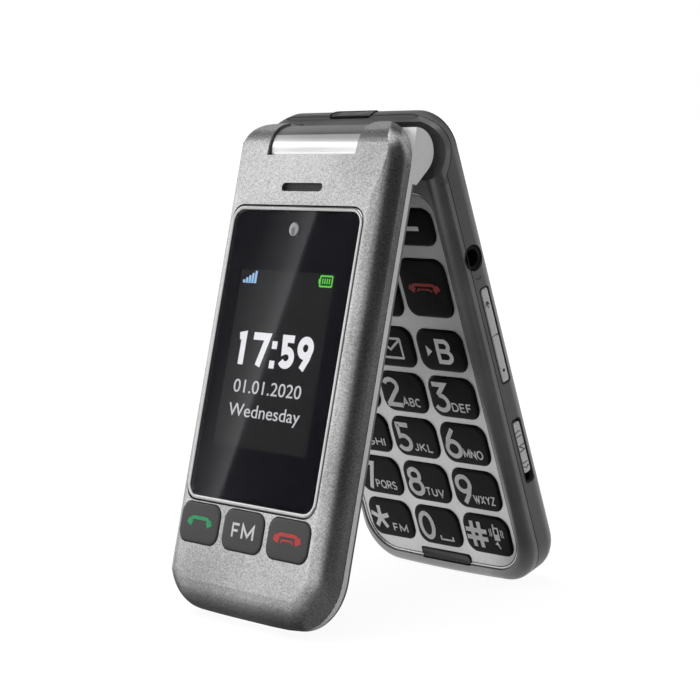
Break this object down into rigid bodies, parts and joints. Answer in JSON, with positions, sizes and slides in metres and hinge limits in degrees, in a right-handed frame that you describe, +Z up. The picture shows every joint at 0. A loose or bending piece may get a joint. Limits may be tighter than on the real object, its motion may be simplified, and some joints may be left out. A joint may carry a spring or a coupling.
{
  "type": "flip phone",
  "caption": "Big-button clamshell mobile phone standing half open, with an outer display and call buttons on the lid, a numeric keypad, a side volume key, a torch switch and a headphone socket.",
  "frame": {"origin": "floor level, in the middle of the box round the phone as it stands half open", "axes": "+Z up; -Y the side the outer display faces, +Y the side the battery cover faces; +X the side with the headphone socket"},
  "size_m": [0.051, 0.0714, 0.1021],
  "materials": {
    "metallic_paint": "sparkling grey paint on plastic",
    "silver_plastic": "silver painted plastic",
    "bright_trim": "bright plated plastic",
    "barrel_chrome": "bright plated plastic",
    "window_glass": "dark tinted glass",
    "clear_lens": "clear moulding",
    "display": "lit display",
    "dark_plastic": "black moulding",
    "circuit_board": "green board",
    "steel": "plain steel",
    "soft_rubber": "matt rubber",
    "bezel_plastic": "satin silver-grey plastic",
    "rear_plastic": "satin grey plastic",
    "panel_plastic": "satin silver plastic",
    "key_plastic": "glossy black with light legends",
    "button_plastic": "glossy black with coloured legends",
    "side_plastic": "silver-grey plastic",
    "battery_case": "cell in a labelled case",
    "flex_film": "amber flexible circuit, rolled"
  },
  "bodies": {
    "base": {"base_front_shell": "bezel_plastic", "base_rear_shell": "rear_plastic", "keypad_panel": "panel_plastic", "foot_strip": "key_plastic", "key_mat": "soft_rubber", "main_board": "circuit_board", "board_parts": "dark_plastic", "battery": "battery_case", "battery_cover": "rear_plastic", "loudspeaker": "dark_plastic", "vibration_motor": "steel", "jack_socket": "dark_plastic", "usb_port": "steel", "base_screws": "steel", "torch_lens": "clear_lens", "hinge_barrel": "barrel_chrome", "hinge_cam_housing": "steel", "hinge_cam_spring": "steel", "hinge_pin": "steel", "hinge_flex": "flex_film"},
    "lid": {"lid_outer_shell": "metallic_paint", "lid_inner_frame": "silver_plastic", "window_rim": "bright_trim", "outer_window": "window_glass", "camera_lens": "clear_lens", "camera_module": "dark_plastic", "ringer_mesh": "dark_plastic", "outer_display": "display", "lid_board": "circuit_board", "inner_window": "window_glass", "inner_display": "display", "earpiece": "dark_plastic", "lid_screws": "steel", "lid_bumpers": "soft_rubber", "hinge_shaft": "steel"},
    "key_soft_left": {"key_soft_left": "key_plastic"},
    "key_soft_right": {"key_soft_right": "key_plastic"},
    "key_nav": {"key_nav": "key_plastic"},
    "key_send": {"key_send": "key_plastic"},
    "key_end": {"key_end": "key_plastic"},
    "key_a": {"key_a": "key_plastic"},
    "key_message": {"key_message": "key_plastic"},
    "key_b": {"key_b": "key_plastic"},
    "key_1": {"key_1": "key_plastic"},
    "key_2": {"key_2": "key_plastic"},
    "key_3": {"key_3": "key_plastic"},
    "key_4": {"key_4": "key_plastic"},
    "key_5": {"key_5": "key_plastic"},
    "key_6": {"key_6": "key_plastic"},
    "key_7": {"key_7": "key_plastic"},
    "key_8": {"key_8": "key_plastic"},
    "key_9": {"key_9": "key_plastic"},
    "key_star": {"key_star": "key_plastic"},
    "key_0": {"key_0": "key_plastic"},
    "key_hash": {"key_hash": "key_plastic"},
    "lid_send_button": {"lid_send_button": "button_plastic"},
    "lid_fm_button": {"lid_fm_button": "button_plastic"},
    "lid_end_button": {"lid_end_button": "button_plastic"},
    "volume_rocker": {"volume_rocker": "side_plastic"},
    "torch_slider": {"torch_slider": "side_plastic"}
  },
  "joints": [
    {"name": "lid_hinge", "type": "hinge", "parent": "base", "child": "lid", "pos_m": [0, -0.00385, 0.09408], "axis": [1, 0, 0], "range_deg": [-117.5, 32.5]},
    {"name": "key_soft_left_press", "type": "slide", "parent": "base", "child": "key_soft_left", "axis": [0, 0.9572, 0.2893], "range_m": [0, 0.00035], "stiffness_N_per_m": 600},
    {"name": "key_soft_right_press", "type": "slide", "parent": "base", "child": "key_soft_right", "axis": [0, 0.9572, 0.2893], "range_m": [0, 0.00035], "stiffness_N_per_m": 600},
    {"name": "key_nav_press", "type": "slide", "parent": "base", "child": "key_nav", "axis": [0, 0.9572, 0.2893], "range_m": [0, 0.00035], "stiffness_N_per_m": 600},
    {"name": "key_send_press", "type": "slide", "parent": "base", "child": "key_send", "axis": [0, 0.9572, 0.2893], "range_m": [0, 0.00035], "stiffness_N_per_m": 600},
    {"name": "key_end_press", "type": "slide", "parent": "base", "child": "key_end", "axis": [0, 0.9572, 0.2893], "range_m": [0, 0.00035], "stiffness_N_per_m": 600},
    {"name": "key_a_press", "type": "slide", "parent": "base", "child": "key_a", "axis": [0, 0.9572, 0.2893], "range_m": [0, 0.00035], "stiffness_N_per_m": 600},
    {"name": "key_message_press", "type": "slide", "parent": "base", "child": "key_message", "axis": [0, 0.9572, 0.2893], "range_m": [0, 0.00035], "stiffness_N_per_m": 600},
    {"name": "key_b_press", "type": "slide", "parent": "base", "child": "key_b", "axis": [0, 0.9572, 0.2893], "range_m": [0, 0.00035], "stiffness_N_per_m": 600},
    {"name": "key_1_press", "type": "slide", "parent": "base", "child": "key_1", "axis": [0, 0.9572, 0.2893], "range_m": [0, 0.00035], "stiffness_N_per_m": 600},
    {"name": "key_2_press", "type": "slide", "parent": "base", "child": "key_2", "axis": [0, 0.9572, 0.2893], "range_m": [0, 0.00035], "stiffness_N_per_m": 600},
    {"name": "key_3_press", "type": "slide", "parent": "base", "child": "key_3", "axis": [0, 0.9572, 0.2893], "range_m": [0, 0.00035], "stiffness_N_per_m": 600},
    {"name": "key_4_press", "type": "slide", "parent": "base", "child": "key_4", "axis": [0, 0.9572, 0.2893], "range_m": [0, 0.00035], "stiffness_N_per_m": 600},
    {"name": "key_5_press", "type": "slide", "parent": "base", "child": "key_5", "axis": [0, 0.9572, 0.2893], "range_m": [0, 0.00035], "stiffness_N_per_m": 600},
    {"name": "key_6_press", "type": "slide", "parent": "base", "child": "key_6", "axis": [0, 0.9572, 0.2893], "range_m": [0, 0.00035], "stiffness_N_per_m": 600},
    {"name": "key_7_press", "type": "slide", "parent": "base", "child": "key_7", "axis": [0, 0.9572, 0.2893], "range_m": [0, 0.00035], "stiffness_N_per_m": 600},
    {"name": "key_8_press", "type": "slide", "parent": "base", "child": "key_8", "axis": [0, 0.9572, 0.2893], "range_m": [0, 0.00035], "stiffness_N_per_m": 600},
    {"name": "key_9_press", "type": "slide", "parent": "base", "child": "key_9", "axis": [0, 0.9572, 0.2893], "range_m": [0, 0.00035], "stiffness_N_per_m": 600},
    {"name": "key_star_press", "type": "slide", "parent": "base", "child": "key_star", "axis": [0, 0.9572, 0.2893], "range_m": [0, 0.00035], "stiffness_N_per_m": 600},
    {"name": "key_0_press", "type": "slide", "parent": "base", "child": "key_0", "axis": [0, 0.9572, 0.2893], "range_m": [0, 0.00035], "stiffness_N_per_m": 600},
    {"name": "key_hash_press", "type": "slide", "parent": "base", "child": "key_hash", "axis": [0, 0.9572, 0.2893], "range_m": [0, 0.00035], "stiffness_N_per_m": 600},
    {"name": "lid_send_button_press", "type": "slide", "parent": "lid", "child": "lid_send_button", "axis": [0, 0.9628, -0.2703], "range_m": [0, 0.0003], "stiffness_N_per_m": 600},
    {"name": "lid_fm_button_press", "type": "slide", "parent": "lid", "child": "lid_fm_button", "axis": [0, 0.9628, -0.2703], "range_m": [0, 0.0003], "stiffness_N_per_m": 600},
    {"name": "lid_end_button_press", "type": "slide", "parent": "lid", "child": "lid_end_button", "axis": [0, 0.9628, -0.2703], "range_m": [0, 0.0003], "stiffness_N_per_m": 600},
    {"name": "volume_rocker_tip", "type": "hinge", "parent": "base", "child": "volume_rocker", "pos_m": [0.0234, 0.01609, 0.0554], "axis": [0, -0.9572, -0.2893], "range_deg": [-1.5, 1.5], "stiffness_Nm_per_rad": 0.05},
    {"name": "torch_slider_slide", "type": "slide", "parent": "base", "child": "torch_slider", "axis": [0, 0.2893, -0.9572], "range_m": [0, 0.0018]}
  ]
}
